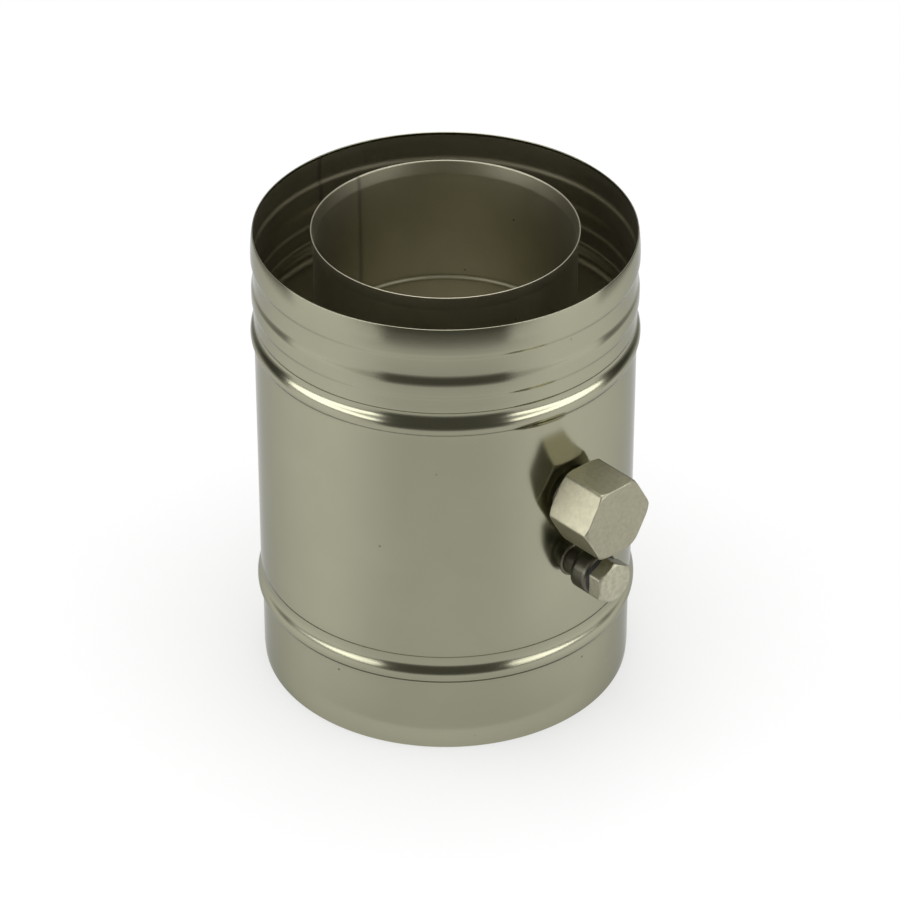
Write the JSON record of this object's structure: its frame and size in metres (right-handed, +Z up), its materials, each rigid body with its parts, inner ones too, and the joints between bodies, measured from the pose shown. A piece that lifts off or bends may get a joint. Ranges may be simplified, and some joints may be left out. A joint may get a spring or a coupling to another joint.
{
  "type": "concentric flue test section",
  "caption": "Short concentric stainless flue pipe section with a capped flue gas test socket and an air test screw on its side.",
  "frame": {"origin": "centre of the pipes' common axis at the spigot end, which the section stands on", "axes": "+Z up the pipes' axis to the socket end, +X out along the flue test socket"},
  "size_m": [0.1754, 0.1528, 0.196],
  "materials": {
    "outer_steel": "bright cold-rolled stainless sheet",
    "inner_steel": "bright cold-rolled stainless sheet",
    "clip_steel": "bright sheet",
    "turned_steel": "turned",
    "cap_steel": "brushed flats",
    "screw_steel": "cold-forged",
    "seal_rubber": "matte"
  },
  "bodies": {
    "pipe": {"outer_pipe": "outer_steel", "inner_pipe": "inner_steel", "spacer_clip_1": "clip_steel", "spacer_clip_2": "clip_steel", "spacer_clip_3": "clip_steel", "flue_test_socket": "turned_steel", "air_test_boss": "turned_steel"},
    "cap_gasket": {"cap_gasket": "seal_rubber"},
    "flue_test_cap": {"flue_test_cap": "cap_steel"},
    "screw_seal": {"screw_seal": "seal_rubber"},
    "air_test_screw": {"air_test_screw": "screw_steel"}
  },
  "joints": [
    {"name": "cap_travel", "type": "slide", "parent": "pipe", "child": "cap_gasket", "axis": [1, 0, 0], "range_m": [0, 0.0127]},
    {"name": "cap_turn", "type": "hinge", "parent": "cap_gasket", "child": "flue_test_cap", "pos_m": [0.0925, 0, 0.109], "axis": [1, 0, 0], "range_deg": [0, 2520]},
    {"name": "screw_travel", "type": "slide", "parent": "pipe", "child": "screw_seal", "axis": [1, 0, 0], "range_m": [0, 0.0135]},
    {"name": "screw_turn", "type": "hinge", "parent": "screw_seal", "child": "air_test_screw", "pos_m": [0.0903, 0, 0.079], "axis": [1, 0, 0], "range_deg": [0, 3240]}
  ],
  "couplings": [
    {"joint": "cap_travel", "follows": "cap_turn", "m_per_rad": 0.00028871},
    {"joint": "screw_travel", "follows": "screw_turn", "m_per_rad": 0.00023873}
  ]
}
